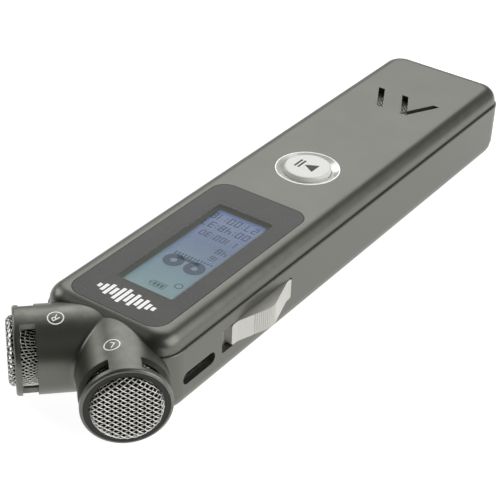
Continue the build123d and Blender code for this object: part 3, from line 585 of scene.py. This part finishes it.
# Woven wire
def woven_runs(step, half_angle, total, lift):
    """Two families of crossing wires in a disc, as lists of (across, along, height)."""
    first = Vector((cos(half_angle), sin(half_angle)))
    second = Vector((cos(half_angle), -sin(half_angle)))
    count = ceil(total / step / sin(2 * half_angle)) + 1
    runs = []
    for own, other, over in ((first, second, 1), (second, first, -1)):
        for row in range(-count, count + 1):
            run = []
            for sample in range(-2 * count * wire_samples, 2 * count * wire_samples + 1):
                along = sample / wire_samples
                flat = (own * along + other * row) * step
                if flat.length < total:
                    run.append((flat.x, flat.y, over * lift * cos(pi * (along + row))))
            if len(run) > wire_samples:
                runs.append(run)
    return runs


def cup_point(across, along, lift):
    """Lays a point of the flat weave over the basket: face, rounded edge, straight side."""
    reach = max(hypot(across, along), 1e-9)
    top = rim_reach + basket_rise - wire_radius * 2
    radius = basket_radius - wire_radius * 2
    bend = basket_edge * pi / 2
    over = reach - (radius - basket_edge)
    if over <= 0:
        spot, height, tilt = reach, top, 0.0
    elif over < bend:
        tilt = over / basket_edge
        spot = radius - basket_edge * (1 - sin(tilt))
        height = top - basket_edge * (1 - cos(tilt))
    else:
        spot, height, tilt = radius, top - basket_edge - (over - bend), pi / 2
    spot += lift * sin(tilt)
    height += lift * cos(tilt)
    return Vector((across / reach * spot, along / reach * spot, height))


def wire_mesh(runs, radius):
    """Round wires along runs of points, as one mesh."""
    curve = bpy.data.curves.new("wires", "CURVE")
    curve.dimensions = "3D"
    curve.bevel_depth = radius
    curve.bevel_resolution = 1
    curve.use_fill_caps = True
    for run in runs:
        spline = curve.splines.new("POLY")
        spline.points.add(len(run) - 1)
        for point, place in zip(spline.points, run):
            point.co = (*place, 1.0)
    holder = bpy.data.objects.new("wires", curve)
    bpy.context.scene.collection.objects.link(holder)
    bpy.context.view_layer.update()
    mesh = bpy.data.meshes.new_from_object(holder.evaluated_get(bpy.context.evaluated_depsgraph_get()))
    bpy.data.objects.remove(holder)
    for polygon in mesh.polygons:
        polygon.use_smooth = True
    return mesh


def make_basket(side, word):
    """Woven wire cup over a capsule, with its felt liner."""
    place = barrel_matrix(side)
    total = basket_radius - basket_edge + basket_edge * pi / 2 + basket_depth - basket_edge
    weave = woven_runs(wire_step, wire_half_angle, total, wire_lift)
    runs = [[place @ cup_point(*point) for point in run] for run in weave]
    wires = wire_mesh(runs, wire_radius)
    basket = finish_piece("woven_basket_" + word, wires, mesh_wire, "casing")
    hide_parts("mesh_basket_" + word)

    liner_radius = basket_radius - liner_gap
    liner_top = rim_reach + basket_rise - liner_drop
    liner_low = rim_reach - liner_depth
    bm = bmesh.new()
    bmesh.ops.create_cone(bm, cap_ends=True, segments=48, radius1=liner_radius, radius2=liner_radius,
                          depth=liner_top - liner_low,
                          matrix=Matrix.Translation((0, 0, (liner_top + liner_low) / 2)))
    lower = [f for f in bm.faces if f.normal.z < -0.9]
    bmesh.ops.delete(bm, geom=lower, context="FACES_ONLY")
    rim = [e for e in bm.edges if all(v.co.z > liner_top - 1e-6 for v in e.verts)]
    bmesh.ops.bevel(bm, geom=rim, offset=liner_edge, segments=4, profile=0.5, affect="EDGES", material=-1)
    bmesh.ops.solidify(bm, geom=bm.faces, thickness=liner_wall)
    bmesh.ops.transform(bm, matrix=place, verts=bm.verts)
    bmesh.ops.recalc_face_normals(bm, faces=bm.faces)
    finish_piece("felt_liner_" + word, mesh_of(bm), felt, "casing")


def make_speaker_weave():
    """Woven wire sheet behind the speaker slots."""
    middle = (mesh_low + mesh_high) / 2
    total = (mesh_high.x - mesh_low.x) / 2 - speaker_weave_inset
    lift = (mesh_high.z - mesh_low.z) / 2 - speaker_wire_radius + speaker_wire_lift
    weave = woven_runs(speaker_wire_step, radians(45), total, max(lift, speaker_wire_lift))
    level = mesh_high.z - speaker_wire_radius - speaker_weave_gap
    runs = [[Vector((middle.x + x, middle.y + y, level + z)) for x, y, z in run] for run in weave]
    wires = wire_mesh(runs, speaker_wire_radius)
    sheet = finish_piece("speaker_weave", wires, mesh_wire, "casing")
    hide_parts("speaker_mesh")


for side, word in ((1, "left"), (-1, "right")):
    make_basket(side, word)
make_speaker_weave()


# Printed marks
def wrap_on_barrel(bm, side, along, across, turn):
    """Bends a flat mark, drawn with Y towards the rim, round the top of a barrel."""
    place = barrel_matrix(side)
    spin = Matrix.Rotation(turn, 4, "Z")
    for vert in bm.verts:
        flat = spin @ vert.co
        angle = (across - flat.x) / barrel_radius
        reach = barrel_radius + print_lift + flat.z
        vert.co = place @ Vector((reach * sin(angle), reach * cos(angle), along + flat.y))


def make_channel_mark(side, word, letter):
    """White ring round the channel letter on top of a barrel."""
    bm = letter_bmesh(letter, letter_size)
    inner = letter_ring_radius - letter_ring_line
    add_ring(bm, letter_ring_radius, inner, -print_depth / 2, print_depth / 2)
    bmesh.ops.subdivide_edges(bm, edges=bm.edges, cuts=1, use_grid_fill=False)
    wrap_on_barrel(bm, side, letter_along, -side * letter_across, -side * letter_turn)
    finish_piece("channel_mark_" + word, mesh_of(bm), white_ink_painted_glow, "casing")


make_channel_mark(1, "left", "L")
make_channel_mark(-1, "right", "R")


def make_wave_mark():
    """Row of bars like a sound wave, printed near the window's front end."""
    bm = bmesh.new()
    level = window_high.z + print_lift
    middle_y = window_low.y + wave_inset
    start = -wave_pitch * (len(wave_heights) - 1) / 2 - wave_shift
    for step, height in enumerate(wave_heights):
        x = start + step * wave_pitch
        half = height * MM / 2
        add_slab(bm, x - wave_bar / 2, x + wave_bar / 2, middle_y - half, middle_y + half,
                 level, level + print_depth)
    finish_piece("wave_mark", mesh_of(bm), white_ink_painted_glow, "casing")


make_wave_mark()


def make_button_mark():
    """Pause bars and play triangle on the button, read from the microphone end."""
    bm = bmesh.new()
    middle = (button_low + button_high) / 2
    level = button_high.z + print_lift
    for shift in (-pause_half_spread, pause_half_spread):
        left = middle.x + pause_place + shift - pause_bar / 2
        add_slab(bm, left, left + pause_bar, middle.y - pause_half_height,
                 middle.y + pause_half_height, level, level + print_depth)
    triangle = Matrix.Translation((middle.x + play_place, middle.y, level + print_depth / 2))
    turn = Matrix.Rotation(pi / 2, 4, "Z")
    bmesh.ops.create_cone(bm, cap_ends=True, segments=3, radius1=play_radius, radius2=play_radius,
                          depth=print_depth, matrix=triangle @ turn)
    finish_piece("play_pause_mark", mesh_of(bm), dark_ink, "play_key")


make_button_mark()


# Display content, read with the microphones at the top: right is -X and up is -Y.
def screen_place(right, up):
    """Place on the lit face from its lower left corner as it is read, in millimetres."""
    return lit_high.x - right * MM, lit_high.y - up * MM


segment_level = lcd_high.z + 0.012 * MM


def add_screen_bar(bm, right, up, width, height):
    x, y = screen_place(right, up)
    add_slab(bm, x - width * MM, x, y - height * MM, y, segment_level, segment_level + print_depth)


segments_of = {
    "0": "abcdef", "1": "bc", "2": "abged", "3": "abgcd", "4": "fgbc",
    "5": "afgcd", "6": "afgecd", "7": "abc", "8": "abcdefg", "9": "abcdfg",
}


def add_digits(bm, letters, right, up, height):
    """Seven-segment digits, with a colon or a stroke where asked."""
    width = height * 0.55
    thick = height * 0.13
    half = height / 2
    bars = {
        "a": (0, height - thick, width, thick), "d": (0, 0, width, thick),
        "g": (0, half - thick / 2, width, thick), "f": (0, half, thick, half),
        "e": (0, 0, thick, half), "b": (width - thick, half, thick, half),
        "c": (width - thick, 0, thick, half),
    }
    for letter in letters:
        if letter in segments_of:
            for key in segments_of[letter]:
                x, y, w, h = bars[key]
                add_screen_bar(bm, right + x, up + y, w, h)
            right += width + thick * 1.6
        elif letter == ":":
            for y in (half * 0.5, half * 1.35):
                add_screen_bar(bm, right, up + y, thick * 1.2, thick * 1.2)
            right += thick * 3
        else:
            right += width * 0.6


def make_display_content():
    bm = bmesh.new()
    for letters, right, up, height in (
        ("27:00:18", 0.45, 1.05, 1.75), ("00:48:37", 0.45, 3.6, 1.75), ("1 100:30", 0.3, 6.5, 1.5),
        ("48", 0.5, 9.5, 1.5), ("16", 0.5, 11.8, 1.3),
    ):
        add_digits(bm, letters, right, up, height)
    tick_count = 12
    for tick in range(tick_count):
        add_screen_bar(bm, 0.5 + tick * 0.6, 13.95, 0.3, 0.35 + 0.06 * tick)
    for right in (2.2, 6.2):
        x, y = screen_place(right, 16.4)
        add_ring(bm, 1.75 * MM, 0.55 * MM, segment_level, segment_level + print_depth, (x, y), 28)
    add_screen_bar(bm, 2.2, 14.75, 4.0, 0.8)
    add_screen_bar(bm, 2.6, 22.5, 2.6, 0.12)
    add_screen_bar(bm, 2.6, 23.8, 2.6, 0.12)
    add_screen_bar(bm, 2.6, 22.5, 0.12, 1.42)
    add_screen_bar(bm, 5.1, 22.5, 0.12, 1.42)
    add_screen_bar(bm, 5.3, 22.9, 0.2, 0.6)
    for cell in range(3):
        add_screen_bar(bm, 2.95 + cell * 0.68, 22.8, 0.46, 0.82)
    x, y = screen_place(1.2, 21.6)
    add_ring(bm, 0.7 * MM, 0.52 * MM, segment_level, segment_level + print_depth, (x, y), 24)
    finish_piece("display_segments", mesh_of(bm), segment_ink, "casing")


make_display_content()


def make_key_marks():
    """White plus, minus and menu strokes on the side keys, which ride on the keys."""
    strokes = {
        "menu": [(-0.7, 0.45, 1.4, 0.16), (-0.7, -0.08, 1.4, 0.16), (-0.7, -0.61, 1.4, 0.16)],
        "volume_down": [(-0.6, -0.1, 1.2, 0.2)],
        "volume_up": [(-0.6, -0.1, 1.2, 0.2), (-0.1, -0.6, 0.2, 1.2)],
    }
    for word, bars in strokes.items():
        low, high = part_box(word + "_key")
        middle = (low + high) / 2
        face = low.x - print_lift
        bm = bmesh.new()
        for y, z, width, height in bars:
            add_slab(bm, face - print_depth, face, middle.y + y * MM, middle.y + (y + width) * MM,
                     middle.z + z * MM, middle.z + (z + height) * MM)
        finish_piece(word + "_mark", mesh_of(bm), white_ink_painted_glow, word + "_press_key")


make_key_marks()


# Floor, lights and camera
floor_size = 4.0
floor_drop = 0.05 * MM            # below the object
floor_glow = 0.95
bright_side = (-0.5, 0.85, 0.1)   # of the surround
wide_glow = 0.11
close_glow = 0.09


def make_floor():
    bm = bmesh.new()
    bmesh.ops.create_grid(bm, x_segments=1, y_segments=1, size=floor_size)
    bmesh.ops.translate(bm, verts=bm.verts, vec=(0, 0, cad_box[0].z - floor_drop))
    floor = bpy.data.objects.new("studio_floor", mesh_of(bm))
    bpy.context.scene.collection.objects.link(floor)
    material = bpy.data.materials.new("pale_floor")
    material.use_nodes = True
    shader = material.node_tree.nodes["Principled BSDF"]
    shader.inputs["Base Color"].default_value = (0.35, 0.35, 0.35, 1)
    shader.inputs["Roughness"].default_value = 1.0
    shader.inputs["Specular IOR Level"].default_value = 0.0
    shader.inputs["Emission Color"].default_value = (1, 1, 1, 1)
    shader.inputs["Emission Strength"].default_value = floor_glow
    floor.data.materials.append(material)


def add_softbox(name, place, width, height, power):
    """A rectangular area light that faces the object."""
    light = bpy.data.lights.new(name, "AREA")
    light.shape = "RECTANGLE"
    light.size = width
    light.size_y = height
    light.energy = power
    lamp = bpy.data.objects.new(name, light)
    lamp.location = place
    lamp.rotation_euler = (-Vector(place)).to_track_quat("-Z", "Y").to_euler()
    bpy.context.scene.collection.objects.link(lamp)


make_floor()
add_softbox("back_left_softbox", (-0.45, 0.6, 0.5), 0.7, 0.4, 1.8)
add_softbox("back_high_softbox", (-0.25, 0.55, 0.85), 0.6, 0.5, 1.2)
add_softbox("right_softbox", (0.65, 0.15, 0.4), 0.8, 0.7, 4.5)
add_softbox("left_softbox", (-0.7, -0.1, 0.45), 0.5, 0.4, 2.0)


def make_surround():
    """White studio that is bright behind the object and dim on the camera's side."""
    world = bpy.data.worlds.new("studio_surround")
    world.use_nodes = True
    tree = world.node_tree
    background = tree.nodes["Background"]
    background.inputs["Color"].default_value = (1, 1, 1, 1)
    direction = tree.nodes.new("ShaderNodeTexCoord").outputs["Generated"]
    dot = tree.nodes.new("ShaderNodeVectorMath")
    dot.operation = "DOT_PRODUCT"
    dot.inputs[1].default_value = bright_side
    tree.links.new(direction, dot.inputs[0])
    wide = smooth_range(tree, dot.outputs["Value"], -0.2, 0.95, 0.0, wide_glow)
    close = smooth_range(tree, dot.outputs["Value"], 0.35, 0.95, 0.0, close_glow)
    glow = math_node(tree, "ADD", wide, close)
    seen = tree.nodes.new("ShaderNodeLightPath").outputs["Is Camera Ray"]
    tree.links.new(math_node(tree, "MAXIMUM", glow, seen), background.inputs["Strength"])
    bpy.context.scene.world = world


make_surround()

camera_place = Vector((0.11384, -0.18375, 0.1398))
camera_target = Vector((0.00698, -0.02444, 0.0138))
camera_roll = radians(2.55)
camera = bpy.data.objects.new("camera", bpy.data.cameras.new("camera"))
camera.data.lens = 106.1
camera.data.sensor_width = 36
camera.data.clip_start = 0.01
camera.location = camera_place
aim = (camera_target - camera_place).to_track_quat("-Z", "Y").to_matrix()
camera.rotation_euler = (aim @ Matrix.Rotation(camera_roll, 3, "Z")).to_euler()
bpy.context.scene.collection.objects.link(camera)
bpy.context.scene.camera = camera
bpy.context.scene.view_settings.view_transform = "Standard"
